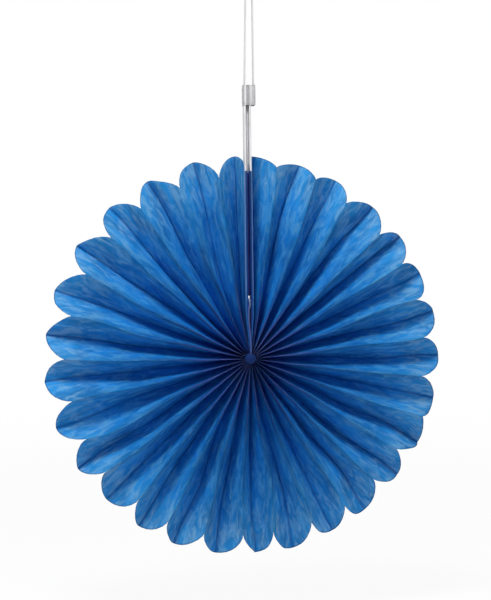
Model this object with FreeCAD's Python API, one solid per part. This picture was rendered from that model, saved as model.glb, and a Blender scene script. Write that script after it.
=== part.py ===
import FreeCAD, Part
import math
import os

# A hanging fan rosette of pleated tissue, in millimetres.
# +Z is up, the disc stands in the XZ plane and its front faces -Y.
# The origin is the underside of the hanging loop's top bend, where the hook bears.

# Pleated sheet
pleat_count = 28          # full pleats in the turn
pleat_width = 30.0        # from fold to fold, across one panel
tip_radius = 200.0        # rim at the back folds, the tips of the scallops
notch_radius = 184.0      # rim at the front folds, the notches between scallops
hub_hole_radius = 6.0     # inner edge of the sheet
waist_radius = 120.0      # where the creases bend a little between slot foot and rim
dome_height = 22.0        # how far the hub stands in front of the rim
wall_thick = 0.25         # modelled thickness of the paper away from the hub
hub_wall_thick = 0.12     # and at the hub, where the pleats are packed tight
fan_offset = -2.4         # the hub's place in X, beside the loop's middle
hub_drop = 355.0          # the hub's depth under the hook
stem_y = -1.0             # the strips' middle at the collar's top, so that the fan hangs plumb

# The pleats open unevenly: a swing of the creases round the hub, in degrees
first_swing = 3.2
first_swing_side = 55.0   # where the first swing is largest, clockwise from the slot
second_swing = 0.9
second_swing_side = 160.0

# Slot at the top, where the sheet's two hemmed ends meet
slot_half_gap = 1.35      # from the middle of the slot to a hem's face
slot_foot_radius = 44.0   # the slot is pinched shut below this
half_tip_offset = 9.0     # how far the first back fold stands off the slot's middle at the rim
hub_slot_half_gap = 0.10  # the slot's half gap at the hub hole
hub_hem_gap = 0.08        # the empty hem's inner gap at the hub hole

# Stiff strips in the hems
stay_thick = 1.8          # across the slot
stay_width = 10.0         # from the front edge to the back
stay_foot_radius = 46.0   # where the strips start, above the pinched slot
hem_fit = 0.05            # clearance round a strip in its hem
hem_spare = 0.5           # how much deeper the hem is than the strip

# Adhesive strip between the two hems
join_depth = 4.0
join_foot_radius = 62.0

# Collar round the strips' ends and the loop's legs
collar_top_z = -86.0
collar_height = 20.0
collar_wall = 0.5
collar_fit = 0.05
collar_edge_radius = 0.8  # rounding of its long edges

# Hanging loop, a narrow flat band on edge
band_thick = 1.2
band_width = 5.0
crown_radius = 2.8        # inside the top bend
mouth_half_width = 5.0    # from the loop's middle to a leg's outer face at the collar's mouth
leg_reach = 9.5           # how far the legs go down into the collar
tongue_reach = 9.5        # how far the strips come up into it

# Thread that ties the hub
thread_radius = 0.6
thread_stand_off = 0.5    # from the front folds to the thread
thread_start_radius = 57.0
thread_start_depth = 2.7  # the slot knot's centre, behind the lips
slot_bend_radius = 10.0   # where the thread leaves the slot
hub_bend_radius = 3.0     # where it turns into the hub hole
knot_fit = 0.05
hub_knot_fit = 0.30

half_pitch = math.pi / pleat_count

hem_inner = slot_half_gap + wall_thick
stay_inner = hem_inner + hem_fit
stay_outer = stay_inner + stay_thick
hem_outer = stay_outer + hem_fit
lip_outer = hem_outer + wall_thick
hem_depth = wall_thick + hem_fit + stay_width + hem_spare


def middle_y(radius):
    """The middle of the pleats: a shallow cone with its hub to the front."""
    return dome_height * (radius / tip_radius - 1.0)


def panel_step(radius):
    """The straight distance from one fold to the next, seen along Y."""
    return 2.0 * radius * math.sin(half_pitch / 2.0)


def fold_depth(radius):
    """How far a front fold stands in front of its back fold: the panel keeps its width."""
    return math.sqrt(pleat_width ** 2 - panel_step(radius) ** 2)


def shift_along_y(radius):
    """The shift between the sheet's two faces that gives the wall its thickness."""
    share = min(1.0, (radius - hub_hole_radius) / (slot_foot_radius - hub_hole_radius))
    thick = hub_wall_thick + (wall_thick - hub_wall_thick) * share
    return thick * pleat_width / panel_step(radius)


def first_fold_offset(radius):
    """The first back fold's distance from the slot's middle."""
    if radius < slot_foot_radius:
        return hub_lip_outer()
    share = (radius - slot_foot_radius) / (tip_radius - slot_foot_radius)
    return lip_outer + (half_tip_offset - lip_outer) * share


def hub_lip_outer():
    """The hem's outer face at the hub hole, where hem and walls are thinnest."""
    return hub_slot_half_gap + 2.0 * hub_wall_thick + hub_hem_gap


def swing(angle):
    """How far a crease swings round the hub: one wave and half as long a second one."""
    first = math.cos(angle - math.radians(first_swing_side))
    second = math.cos(2.0 * (angle - math.radians(second_swing_side)))
    return math.radians(first_swing * first + second_swing * second)


def fold_angle(fold, radius):
    """A fold's angle from the slot, with the slot's own width left free at both ends."""
    start = math.asin(first_fold_offset(radius) / radius)
    even = fold * half_pitch
    return start + even * (1.0 - start / math.pi) + swing(even) - swing(0.0)


def lip_y(radius):
    """The front edge of the hems: a straight line from the pinched slot to the rim."""
    if radius < slot_foot_radius:
        return middle_y(radius) - fold_depth(radius) / 2.0
    foot_y = middle_y(slot_foot_radius) - fold_depth(slot_foot_radius) / 2.0
    return foot_y + lip_slope() * (radius - slot_foot_radius)


def lip_slope():
    """The lean of the hems and strips, set by the panel's width at the rim."""
    foot_y = middle_y(slot_foot_radius) - fold_depth(slot_foot_radius) / 2.0
    back_y = middle_y(notch_radius) + fold_depth(notch_radius) / 2.0
    rise = notch_radius - slot_foot_radius
    return (back_y - pleat_width - foot_y) / rise


def hub_place():
    """The hub's place: the lean of the strips brings their middle under the hook."""
    half_width = wall_thick + hem_fit + stay_width / 2.0
    stem_middle = lip_y(hub_drop + collar_top_z) + half_width / math.cos(math.atan(lip_slope()))
    return FreeCAD.Vector(fan_offset, stem_y - stem_middle, -hub_drop)


def fold_point(fold, radius, face):
    """A point of a crease. face is -1 on the sheet's front and +1 on its back."""
    angle = fold_angle(fold, radius)
    side = -1.0 if fold % 2 else 1.0
    y = middle_y(radius) + side * fold_depth(radius) / 2.0
    y += face * shift_along_y(radius) / 2.0
    return FreeCAD.Vector(radius * math.sin(angle), y, radius * math.cos(angle))


def hem_point(corner, radius, face):
    """A point of the hem: 0 its free end, 1 and 2 the lip's corners, 3 behind the strip."""
    pinched = radius < slot_foot_radius
    thick = hub_wall_thick if pinched else wall_thick
    inner = hub_slot_half_gap if pinched else slot_half_gap
    outer = hub_lip_outer() if pinched else lip_outer
    x = inner if corner < 2 else outer
    if face > 0:
        x += thick if corner < 2 else -thick
    y = lip_y(radius)
    if corner in (0, 3):
        y += hem_depth
    elif face > 0:
        y += thick
    return FreeCAD.Vector(x, y, radius)


def sheet_point(index, radius, face):
    """A point of the whole sheet: four hem corners, the folds, and four hem corners."""
    last = 2 * pleat_count
    if index < 4:
        return hem_point(index, radius, face)
    if index > last + 4:
        point = hem_point(last + 8 - index, radius, face)
        return FreeCAD.Vector(-point.x, point.y, point.z)
    return fold_point(index - 4, radius, face)


def cut_radius(share):
    """The scalloped cut: share runs from 0 at a tip to 1 at a notch, along a parabola."""
    return notch_radius + (tip_radius - notch_radius) * (1.0 - share ** 2)


def cut_share(index):
    """How far along the scallop each crease of the sheet lies."""
    last = 2 * pleat_count
    corner = min(index, last + 8 - index)
    if corner >= 4:
        return float(corner % 2)
    if corner in (1, 2):
        return 1.0
    return 1.0 - hem_depth / pleat_width


def line(start, end):
    return Part.LineSegment(start, end).toShape()


def cut_arc(index, face, inner):
    """One panel's stretch of the scalloped rim: an arc in the plane of its chord and the tip's
    crease, or a straight line across a lip."""
    shares = [cut_share(index), cut_share(index + 1)]
    start, end = [sheet_point(index + step, cut_radius(shares[step]), face) for step in (0, 1)]
    rise = cut_radius(sum(shares) / 2.0) - sum(cut_radius(share) for share in shares) / 2.0
    if rise < 1e-6:
        return line(start, end)
    tip = start if shares[0] < shares[1] else end
    outward = (tip - inner).normalize()
    return Part.Arc(start, (start + end) * 0.5 + outward * rise, end).toShape()


def flat_face(*corners):
    """A flat face through its corners, in order."""
    return Part.Face(Part.makePolygon(list(corners) + [corners[0]]))


def panel_span(index, low, high, face):
    """One panel between two radii, as two flat triangles that share a diagonal."""
    corners = [sheet_point(index, low, face), sheet_point(index + 1, low, face),
               sheet_point(index + 1, high, face), sheet_point(index, high, face)]
    return [flat_face(corners[0], corners[1], corners[2]),
            flat_face(corners[0], corners[2], corners[3])]


def rim_span(index, face):
    """One panel's last span: a triangle, and a flat face that ends in the scalloped arc."""
    low = [sheet_point(index + step, waist_radius, face) for step in (0, 1)]
    tip_first = cut_share(index) < cut_share(index + 1)
    inner = low[0] if tip_first else low[1]
    arc = cut_arc(index, face, inner)
    start, end = [vertex.Point for vertex in arc.Vertexes]
    notch = end if tip_first else start
    tip = start if tip_first else end
    faces = [flat_face(low[0], low[1], notch)]
    edges = Part.__sortEdges__([arc, line(tip, inner), line(inner, notch)])
    faces.append(Part.Face(Part.Wire(edges)))
    return faces, arc


def paper_fan():
    """The folded sheet: flat facets on both faces, closed at hub, rim and both ends."""
    panels = 2 * pleat_count + 8
    radii = [hub_hole_radius, slot_foot_radius, waist_radius]
    faces = []
    for index in range(panels):
        rims = {}
        for face in (-1, 1):
            for low, high in zip(radii, radii[1:]):
                faces += panel_span(index, low, high, face)
            last_faces, rims[face] = rim_span(index, face)
            faces += last_faces
        hub_edges = [line(sheet_point(index, radii[0], face), sheet_point(index + 1, radii[0], face))
                     for face in (-1, 1)]
        faces.append(Part.makeRuledSurface(*hub_edges))
        faces.append(Part.makeRuledSurface(rims[-1], rims[1]))
    for crease in (0, panels):
        ends = radii + [cut_radius(cut_share(crease))]
        for low, high in zip(ends, ends[1:]):
            edges = [line(sheet_point(crease, low, face), sheet_point(crease, high, face))
                     for face in (-1, 1)]
            faces.append(Part.makeRuledSurface(*edges))
    shell = Part.Shell(faces)
    shell.sewShape()
    solid = Part.Solid(shell)
    if solid.Volume < 0:
        solid.reverse()
    solid.translate(hub)
    return solid


def strip_box(low_x, high_x, low_n, high_n, foot_radius, length):
    """A box that lies along the hems: n is its depth behind the lip line."""
    lean = math.atan(lip_slope())
    box = Part.makeBox(high_x - low_x, high_n - low_n, length)
    box.translate(FreeCAD.Vector(low_x, low_n, 0.0))
    box.rotate(FreeCAD.Vector(0, 0, 0), FreeCAD.Vector(1, 0, 0), -math.degrees(lean))
    box.translate(FreeCAD.Vector(0.0, lip_y(foot_radius), foot_radius))
    box.translate(hub)
    return box


def length_along(radius, foot_radius):
    """The distance along the lean from one radius to another."""
    return (radius - foot_radius) / math.cos(math.atan(lip_slope()))


def stay(side):
    """One stiff strip, from the slot's foot to just under the collar's mouth."""
    front = wall_thick + hem_fit
    top = hub_drop + collar_top_z - collar_height + tongue_reach
    length = length_along(top, stay_foot_radius)
    low_x, high_x = sorted((side * stay_inner, side * stay_outer))
    return strip_box(low_x, high_x, front, front + stay_width, stay_foot_radius, length)


def join_strip():
    """The adhesive strip, pressed between the two hems at the back of the strips."""
    back = wall_thick + hem_fit + stay_width
    top = hub_drop + collar_top_z - collar_height
    length = length_along(top, join_foot_radius)
    half = slot_half_gap
    return strip_box(-half, half, back - join_depth, back, join_foot_radius, length)


def leg_x(z):
    """The middle of the loop's right leg at a height, tapering in towards the crown."""
    mouth_x = mouth_half_width - band_thick / 2.0
    crown_x = crown_radius + band_thick / 2.0
    share = (z + crown_radius) / (collar_top_z + crown_radius)
    return crown_x + (mouth_x - crown_x) * share


def collar():
    """The sleeve: a rounded box round the strips' ends and the loop's legs, open at both ends."""
    low_x = -stay_outer - collar_fit
    high_x = leg_x(collar_top_z - leg_reach) + band_thick / 2.0 + collar_fit - fan_offset
    low_n = wall_thick + hem_fit - collar_fit
    high_n = low_n + stay_width + 2.0 * collar_fit
    foot = hub_drop + collar_top_z - collar_height
    length = length_along(foot + collar_height, foot)
    wall = collar_wall
    outer = strip_box(low_x - wall, high_x + wall, low_n - wall, high_n + wall, foot, length)
    long_edges = [edge for edge in outer.Edges if abs(edge.Length - length) < 1e-6]
    outer = outer.makeFillet(collar_edge_radius, long_edges)
    inner = strip_box(low_x, high_x, low_n, high_n, foot - wall, length + 2.0 * wall)
    return outer.cut(inner)


def band_outline(offset):
    """One side of the loop's band: two legs and the crown, offset from its middle line."""
    foot_z = collar_top_z - leg_reach
    crown_x = crown_radius + band_thick / 2.0 + offset
    foot = FreeCAD.Vector(leg_x(foot_z) + offset, 0.0, foot_z)
    shoulder = FreeCAD.Vector(crown_x, 0.0, -crown_radius)
    top = FreeCAD.Vector(0.0, 0.0, crown_x - crown_radius)
    left_foot = FreeCAD.Vector(-foot.x, 0.0, foot.z)
    left_shoulder = FreeCAD.Vector(-shoulder.x, 0.0, shoulder.z)
    crown = Part.Arc(shoulder, top, left_shoulder).toShape()
    edges = [line(foot, shoulder), crown, line(left_shoulder, left_foot)]
    return edges, foot, left_foot


def hanging_loop():
    """A flat band bent into a long narrow loop, its legs beside the strips' ends."""
    outer, outer_right, outer_left = band_outline(band_thick / 2.0)
    inner, inner_right, inner_left = band_outline(-band_thick / 2.0)
    ends = [line(outer_right, inner_right), line(outer_left, inner_left)]
    wire = Part.Wire(Part.__sortEdges__(outer + inner + ends))
    band = Part.Face(wire).extrude(FreeCAD.Vector(0.0, band_width, 0.0))
    band.translate(FreeCAD.Vector(0.0, -band_width / 2.0, 0.0))
    return band


def rounded_route(points, radii):
    """Straight runs joined by tangent arcs, one arc at each inner point."""
    edges = []
    start = points[0]
    for index in range(1, len(points) - 1):
        corner = points[index]
        back = (points[index - 1] - corner).normalize()
        ahead = (points[index + 1] - corner).normalize()
        half_turn = (math.pi - back.getAngle(ahead)) / 2.0
        reach = radii[index - 1] * math.tan(half_turn)
        entry = corner + back * reach
        leave = corner + ahead * reach
        bisector = (back + ahead).normalize()
        rise = radii[index - 1] / math.cos(half_turn) - radii[index - 1]
        edges += [line(start, entry), Part.Arc(entry, corner + bisector * rise, leave).toShape()]
        start = leave
    edges.append(line(start, points[-1]))
    return Part.Wire(edges)


def tie_thread():
    """A thread from a knot in the slot, down the front folds, to the knot in the hub hole."""
    stand_off = thread_radius + thread_stand_off
    hub_front = middle_y(hub_hole_radius) - fold_depth(hub_hole_radius) / 2.0
    hub_front -= shift_along_y(hub_hole_radius) / 2.0 + stand_off
    slot_front = lip_y(slot_foot_radius) - stand_off
    start_y = lip_y(thread_start_radius) + thread_start_depth
    knot_radius = slot_half_gap - knot_fit
    hub_knot_radius = hub_hole_radius - hub_knot_fit
    route = [
        FreeCAD.Vector(0.0, start_y, thread_start_radius),
        FreeCAD.Vector(0.0, slot_front, slot_foot_radius),
        FreeCAD.Vector(0.0, hub_front, hub_hole_radius),
        FreeCAD.Vector(0.0, hub_front + hub_knot_radius, 0.0),
    ]
    path = rounded_route(route, [slot_bend_radius, hub_bend_radius])
    profile = Part.Wire(Part.makeCircle(thread_radius, route[0], route[1] - route[0]))
    strand = path.makePipeShell([profile], True, True)
    slot_knot = Part.makeSphere(knot_radius, route[0])
    hub_knot = Part.makeSphere(hub_knot_radius, route[3])
    thread = strand.fuse([slot_knot, hub_knot]).removeSplitter()
    thread.translate(hub)
    return thread


hub = hub_place()

nodes = {
    "paper_fan": paper_fan(),
    "stay_left": stay(-1),
    "stay_right": stay(1),
    "join_strip": join_strip(),
    "collar": collar(),
    "hanging_loop": hanging_loop(),
    "tie_thread": tie_thread(),
}

os.makedirs("parts", exist_ok=True)
for name, shape in nodes.items():
    shape.exportStep("parts/" + name + ".step")
    box = shape.BoundBox
    print(name, shape.ShapeType, "solids", len(shape.Solids), "valid", shape.isValid(),
          "volume", round(shape.Volume, 2), "size", [round(v, 2) for v in
          (box.XMin, box.XMax, box.YMin, box.YMax, box.ZMin, box.ZMax)])
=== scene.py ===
import math

import bmesh
import bpy
import numpy as np
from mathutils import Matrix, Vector


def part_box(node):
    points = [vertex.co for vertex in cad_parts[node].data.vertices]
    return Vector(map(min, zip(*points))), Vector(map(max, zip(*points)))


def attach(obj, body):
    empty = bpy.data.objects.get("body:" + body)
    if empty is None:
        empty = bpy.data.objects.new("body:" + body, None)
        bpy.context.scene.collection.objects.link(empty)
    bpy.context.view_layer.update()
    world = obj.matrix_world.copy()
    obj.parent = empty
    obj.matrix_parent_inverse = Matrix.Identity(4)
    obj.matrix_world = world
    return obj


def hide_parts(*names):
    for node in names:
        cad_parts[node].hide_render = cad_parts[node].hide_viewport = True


bl_info = {
    "name": "Paper Fan Rosette",
    "version": (1, 0, 0),
    "blender": (4, 5, 0),
    "location": "3D View > Sidebar > Paper Fan",
    "description": "Dresses the frame of a hanging rosette of pleated tissue",
    "category": "Add Mesh",
}

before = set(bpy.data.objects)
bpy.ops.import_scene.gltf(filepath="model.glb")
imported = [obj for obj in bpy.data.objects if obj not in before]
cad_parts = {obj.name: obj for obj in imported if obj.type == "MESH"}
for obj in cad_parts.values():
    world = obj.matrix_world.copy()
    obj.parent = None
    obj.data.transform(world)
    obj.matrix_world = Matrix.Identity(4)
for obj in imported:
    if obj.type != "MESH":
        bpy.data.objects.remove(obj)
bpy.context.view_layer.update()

# Painted shade: the tissue's colour made darker and bluer towards the hub, where the pleats crowd
# and shade one another: share of the radius, and what is left of red, green and blue, down in the
# folds and along the front folds.
HUB_SHADE_IN_FOLDS = (
    (0.10, (0.16, 0.52, 0.90)),
    (0.30, (0.16, 0.66, 0.94)),
    (0.50, (0.24, 0.66, 0.88)),
    (0.70, (0.40, 0.76, 0.90)),
    (0.92, (1.00, 0.98, 0.95)),
)
HUB_SHADE_AT_RIDGES = (
    (0.10, (0.20, 0.26, 0.48)),
    (0.30, (0.12, 0.27, 0.46)),
    (0.50, (0.20, 0.45, 0.62)),
    (0.70, (0.38, 0.68, 0.78)),
    (0.92, (1.00, 0.96, 0.93)),
)

# The cut's unevenness: how much deeper the notches are everywhere, how much more at the bottom,
# the shallow ones by fold, and how much shorter the tips are.
NOTCH_DROP = 0.0030
LOW_NOTCH_DROP = 0.0034
NOTCH_RISES = {1: 0.0062, 3: 0.0050, 17: 0.0050}
TIP_TRIM = 0.0008

# A petal's outline: the power of its fall from tip to notch, how much lower that is on a flat half
# and how much higher on a round one.
FALL_POWER = 2.0
FLATTER = 0.65
ROUNDER = 0.9

# The creases: the size of each wave of their sideways drift, and their sway to front and back.
WANDER_WAVES = (0.45, 0.50, 0.34, 0.20)
CREASE_SWAY = 0.0007

# The soft crumples: their number, the shortest one's length, the range of their lengths, slants
# and phases, and the length at which one has its full height.
CRUMPLES = 26
SHORT_CRUMPLE = 0.010
CRUMPLE_LENGTHS = 0.040
CRUMPLE_SLANTS = 2.2
CRUMPLE_PHASES = 6.283
FULL_CRUMPLE = 0.03

# A panel's bow: how fast its waves turn from hub to rim, and where the slowest one starts.
BOW_TURN = 2.6
BOW_START = 0.7

# The sheet's grid: rows from hub to rim, and the places across a panel, closer at its creases.
ROWS = 86
PLACES = (0.0, 0.05, 0.16, 0.33, 0.5, 0.67, 0.84, 0.95)
SHARP_FOLD = math.radians(38.0)

# Noise as (scale, detail, roughness, distortion), over the flat sheet and along the plastic.
CLOUD = ((60.0, 22.0, 1.0), 4.0, 0.6, 0.4)
PATCH = ((170.0, 60.0, 1.0), 4.0, 0.58, 0.7)
FIBRE = ((1400.0, 160.0, 1.0), 3.0, 0.6, 0.0)
SPECK = ((520.0, 420.0, 1.0), 2.0, 0.5, 0.0)
CREPE = ((150.0, 55.0, 1.0), 4.0, 0.6, 0.8)
DRAWN = ((1800.0, 1800.0, 35.0), 3.0, 0.5, 0.0)
CLOUDY = ((160.0, 160.0, 60.0), 3.0, 0.5, 0.0)
PALE_FIBRE = (0.55, 0.74, 0.92)
DARK_SPECK = (0.02, 0.10, 0.30)
WHITE = (1.0, 1.0, 1.0, 1.0)

# Rounding of long edges and of ends.
STRIP_EDGES = (0.0004, 0.0003)
TAPE_EDGES = (0.0005, 0.0004)
BAND_CORNER = 0.0003
COLLAR_CORNER = 0.0008
COLLAR_FIT = 0.00005

# The thread: its knots' clearances, the slot knot's drop and stretch, how far the hub knot's core
# stands out at the back, and how far in front of the hub's folds the strand passes.
SLOT_KNOT_FIT = 0.00005
HUB_KNOT_FIT = 0.00015
SLOT_KNOT_DROP = (0.0, 0.0, 0.0030)
SLOT_KNOT_STRETCH = (1.0, 1.0, 4.6)
CORE_PROUD = 0.0002
HUB_CLEARANCE = 0.0025

# The strand's bends on its way down: sideways, how far it has come from the slot's foot to the
# hub's front, how far it bows out, and the height over the hub.
STRAND_BENDS = ((-0.0018, 0.25, 0.0005, 0.036), (-0.0002, 0.50, 0.0006, 0.022))

# The stage: half the floor's width, the lamp's place, aim and size, and the camera's sensor in mm.
FLOOR_REACH = 6.0
KEY_PLACE = (-0.45, -1.05, 1.25)
KEY_AIM = (0.0, 0.0, -0.34)
KEY_SIZE = 0.5
SENSOR = 36.0

# Painted highlight and shade across the clear sleeve, with what shows through it, from its left
# side to its right: place and grey shade.
SLEEVE_LIGHT_AND_SHADE = ((-0.0064, 176), (-0.0056, 200), (-0.0048, 255), (-0.0040, 246), (-0.0032, 186),
                 (-0.0006, 178), (0.0002, 236), (0.0016, 234), (0.0024, 204), (0.0046, 206),
                 (0.0057, 176))


def linear(red, green, blue):
    """A colour of 0 to 255 as the linear values that a shader works with."""
    levels = [value / 255.0 for value in (red, green, blue)]
    return [level / 12.92 if level <= 0.04045 else ((level + 0.055) / 1.055) ** 2.4
            for level in levels]


def length(name, description, default):
    """A size in metres."""
    return bpy.props.FloatProperty(name=name, description=description, default=default,
                                   unit="LENGTH", precision=5)


def degrees(name, description, default):
    """An angle, given in degrees and kept in radians."""
    return bpy.props.FloatProperty(name=name, description=description,
                                   default=math.radians(default), subtype="ANGLE")


def share(name, description, default):
    """A share of something, from 0 to 1."""
    return bpy.props.FloatProperty(name=name, description=description, default=default,
                                   min=0.0, max=1.0, subtype="FACTOR")


def colour(name, description, red, green, blue):
    """A finish's colour, written as 0 to 255."""
    return bpy.props.FloatVectorProperty(name=name, description=description, size=3, min=0.0,
                                         max=1.0, subtype="COLOR",
                                         default=linear(red, green, blue))


class FanSettings(bpy.types.PropertyGroup):
    """The pleated sheet and how its creases and panels wander."""
    pleats: bpy.props.IntProperty(name="Pleats", description="Full pleats in the turn",
                                  default=28, min=8)
    pleat_width: length("Pleat width", "From fold to fold, across one panel", 0.030)
    tip_radius: length("Tip radius", "Rim at the back folds", 0.200)
    notch_radius: length("Notch radius", "Rim at the front folds", 0.184)
    hub_hole: length("Hub hole", "Radius of the sheet's inner edge", 0.006)
    dome: length("Dome", "How far the hub stands in front of the rim", 0.022)
    wall: length("Paper wall", "Modelled thickness of the paper", 0.00025)
    scallop_power: bpy.props.FloatProperty(
        name="Scallop power", description="How pointed the cut of a petal is", default=0.78)
    slant: share("Petal slant", "How much flatter a petal's upper edge is", 0.5)
    first_swing: degrees("First swing", "Uneven opening, one wave round the hub", 3.2)
    first_side: degrees("First side", "Where the first swing is largest", 55.0)
    second_swing: degrees("Second swing", "Uneven opening, two waves", 0.9)
    second_side: degrees("Second side", "Where the second swing is largest", 160.0)
    slot_half_gap: length("Slot half gap", "Middle of the slot to a hem's face", 0.00135)
    slot_foot: length("Slot foot", "Radius under which the slot is pinched", 0.044)
    half_tip_offset: length("Half tip offset", "First back fold to the slot at the rim", 0.009)
    hub_gap: length("Hub gap", "Half gap of the slot at the hub hole", 0.0001)
    hub_wall: length("Hub wall", "Modelled thickness at the hub hole", 0.00012)
    hub_hem_gap: length("Hub hem gap", "Inner gap of the empty hem at the hub hole", 0.00008)
    wander: share("Crease wander", "Sideways wander of a crease, as a share of a panel", 0.17)
    rim_play: length("Rim play", "Unevenness of the scalloped cut", 0.0008)
    bulge: length("Panel bulge", "How far a panel bows out of its plane", 0.0018)
    crumple: length("Crumple", "Height of the soft crumples", 0.00038)
    ridge_back: length("Ridge set-back", "How far the front folds lie behind their line", 0.0007)
    paper: colour("Paper", "The tissue in plain light", 34, 120, 182)
    faded: colour("Faded patches", "Where the tissue's fibres are thin", 138, 176, 204)
    # Painted shade: the back folds are coloured dark where shade gathers in them.
    crease: colour("Crease", "The back folds, where the pressed tissue is dark", 6, 60, 128)
    # Painted highlight: the front folds near the hub are coloured pale lavender where they catch
    # the light.
    fold_highlight: colour("Worn fold", "The front folds where they are rubbed, near the hub", 62, 58, 116)
    lip: colour("Hem lip", "The paper over the strips' front edges", 120, 138, 190)
    gap: colour("Slot gap", "The shaded paper inside the slot", 6, 24, 92)
    seed: bpy.props.IntProperty(name="Seed", description="Start of the seeded unevenness",
                                default=11)


class HangerSettings(bpy.types.PropertyGroup):
    """Strips, collar, loop and thread."""
    hub_drop: length("Hub drop", "The hub's depth under the hook", 0.355)
    hub_x: length("Hub offset", "The hub's place beside the loop's middle", -0.0024)
    stem_y: length("Stem place", "The strips' middle at the collar's top", -0.001)
    stay_thick: length("Strip thickness", "Across the slot", 0.0018)
    stay_width: length("Strip width", "From front edge to back", 0.010)
    stay_foot: length("Strip foot", "Radius where the strips start", 0.046)
    hem_fit: length("Hem fit", "Clearance round a strip in its hem", 0.00005)
    hem_spare: length("Hem spare", "How much deeper the hem is than the strip", 0.0005)
    join_depth: length("Join depth", "Adhesive strip, front to back", 0.004)
    join_foot: length("Join foot", "Radius where the adhesive strip starts", 0.062)
    collar_top: length("Collar top", "Height of the collar's mouth", -0.086)
    collar_height: length("Collar height", "The sleeve's length", 0.020)
    collar_wall: length("Collar wall", "The sleeve's wall", 0.0005)
    band_thick: length("Band thickness", "The loop's strip", 0.0012)
    band_width: length("Band width", "The loop's strip, front to back", 0.005)
    crown: length("Crown radius", "Inside the loop's top bend", 0.0028)
    mouth: length("Mouth half width", "Loop's middle to a leg's outer face", 0.005)
    leg_reach: length("Leg reach", "How far the legs go down into the collar", 0.0095)
    tongue_reach: length("Tongue reach", "How far the strips come up into it", 0.0095)
    thread_radius: length("Thread radius", "Half the thread's thickness", 0.0006)
    thread_off: length("Thread stand-off", "From the front folds to the thread", 0.0005)
    thread_start: length("Thread start", "Radius where the thread leaves the slot", 0.057)
    thread_depth: length("Thread depth", "The slot knot's centre behind the lips", 0.0027)
    strip_colour: colour("Strips", "Milky plastic of the strips", 214, 214, 215)
    tape_colour: colour("Tape", "Greyed adhesive strip", 226, 227, 230)
    sleeve_colour: colour("Sleeve", "Clear grey plastic of the collar", 226, 226, 228)
    loop_colour: colour("Loop", "Pale plastic of the loop", 206, 206, 208)
    # Painted shade: the hub knot is coloured dark navy, as it lies in shade deep in the hub hole.
    hub_knot_shade: colour("Hub knot", "The knot in the hub hole, rubbed by the tissue", 8, 42, 100)
    thread_colour: colour("Thread", "Pale lavender thread", 80, 98, 164)
    # Painted highlight: the knot in the slot is coloured pale where it catches the light.
    slot_glint_colour: colour("Slot knot", "The knot in the slot, where it catches the light",
                        150, 170, 214)


class StageSettings(bpy.types.PropertyGroup):
    """Floor, light and camera."""
    floor_gap: length("Floor gap", "From the fan's lowest tip to the floor", 0.060)
    aim_x: length("Aim X", "Point in the picture's middle", -0.0032)
    aim_z: length("Aim Z", "Height in the picture's middle", -0.2984)
    distance: length("Distance", "Camera to the fan", 2.2)
    azimuth: degrees("Azimuth", "Camera round the fan, from the front", -8.8)
    elevation: degrees("Elevation", "Camera over the fan", 2.3)
    frame_height: length("Frame height", "Height of the picture at the fan", 0.5945)
    key: bpy.props.FloatProperty(name="Key light", description="Soft lamp, upper left",
                                 default=35.0)
    fill: bpy.props.FloatProperty(name="Fill", description="Even light from all round",
                                  default=0.38)


def new_material(name):
    """A material with only a shader and its output."""
    made = bpy.data.materials.new(name)
    made.use_nodes = True
    made.node_tree.nodes.clear()
    output = made.node_tree.nodes.new("ShaderNodeOutputMaterial")
    shader = made.node_tree.nodes.new("ShaderNodeBsdfPrincipled")
    made.node_tree.links.new(shader.outputs[0], output.inputs["Surface"])
    return made, made.node_tree, shader


def node(tree, kind, settings=None, **inputs):
    """One node, its own settings and its inputs' values or links."""
    made = tree.nodes.new(kind)
    for key, value in (settings or {}).items():
        setattr(made, key, value)
    fill_in(tree, made, **inputs)
    return made


def fill_in(tree, target, **inputs):
    """Sets or links inputs, each by its name with _ for a space, or by n and its number."""
    for key, value in inputs.items():
        plug(tree, target, key.replace("_", " "), value)


def plug(tree, target, key, value):
    """Sets an input by name or number, or links it where the value is another node's output."""
    socket = target.inputs[int(key[1:])] if key[0] == "n" and key[1:].isdigit() \
        else target.inputs[key]
    if isinstance(value, bpy.types.NodeSocket):
        tree.links.new(value, socket)
    else:
        socket.default_value = value


def maths(tree, operation, first, second):
    """One arithmetic step."""
    return node(tree, "ShaderNodeMath", {"operation": operation}, n0=first, n1=second).outputs[0]


def remap(tree, value, low, high, at_low, at_high):
    """A smooth step of a value from one range to another."""
    return node(tree, "ShaderNodeMapRange", {"interpolation_type": "SMOOTHSTEP"}, n0=value, n1=low,
                n2=high, n3=at_low, n4=at_high).outputs[0]


def blend_colour(tree, factor, first, second, kind="MIX"):
    """Two colours mixed by a factor."""
    return node(tree, "ShaderNodeMix", {"data_type": "RGBA", "blend_type": kind}, n0=factor,
                n6=first, n7=second).outputs[2]


def ramp(tree, value, stops):
    """A colour that runs from stop to stop as a value grows; each stop is (value, colour)."""
    made = node(tree, "ShaderNodeValToRGB", None, n0=value)
    made.color_ramp.interpolation = "EASE"
    elements = made.color_ramp.elements
    elements[0].position, elements[1].position = stops[0][0], stops[-1][0]
    elements[0].color, elements[1].color = rgba(stops[0][1]), rgba(stops[-1][1])
    for position, values in stops[1:-1]:
        elements.new(position).color = rgba(values)
    return made.outputs[0]


def noise(tree, vector, grain):
    """Soft noise of 0 to 1, its grain given as scale, detail, roughness and distortion."""
    scale, detail, roughness, distortion = grain
    made = node(tree, "ShaderNodeTexNoise", None, Vector=scaled(tree, vector, scale), Scale=1.0,
                Detail=detail, Roughness=roughness, Distortion=distortion)
    return made.outputs["Fac"]


def scaled(tree, vector, scale):
    """Coordinates stretched by a Mapping node."""
    return node(tree, "ShaderNodeMapping", None, Vector=vector, Scale=scale).outputs[0]


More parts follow.
